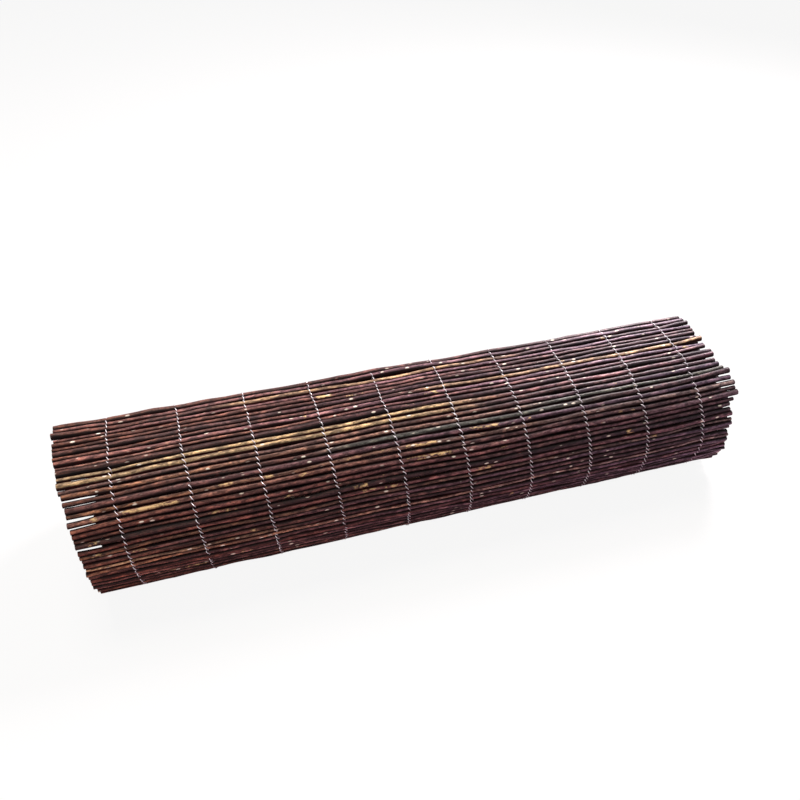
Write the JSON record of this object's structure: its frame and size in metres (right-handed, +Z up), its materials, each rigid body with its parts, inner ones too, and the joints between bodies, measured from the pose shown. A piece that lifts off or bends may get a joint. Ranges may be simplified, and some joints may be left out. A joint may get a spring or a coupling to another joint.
{
  "type": "willow screen",
  "caption": "Rolled screen of bark-on willow rods bound side by side with twisted wires, lying on the ground.",
  "frame": {"origin": "on the ground under the middle of the roll", "axes": "+X along the rods, from the left end to the right; +Y away from the viewer; +Z up"},
  "size_m": [1.0188, 0.2532, 0.2127],
  "materials": {
    "willow": "bark",
    "galvanised_wire": "galvanised"
  },
  "bodies": {
    "root": {"rod_mat": "willow", "binding_wire_01": "galvanised_wire", "binding_wire_02": "galvanised_wire", "binding_wire_03": "galvanised_wire", "binding_wire_04": "galvanised_wire", "binding_wire_05": "galvanised_wire", "binding_wire_06": "galvanised_wire", "binding_wire_07": "galvanised_wire", "binding_wire_08": "galvanised_wire", "binding_wire_09": "galvanised_wire", "binding_wire_10": "galvanised_wire"}
  },
  "joints": []
}
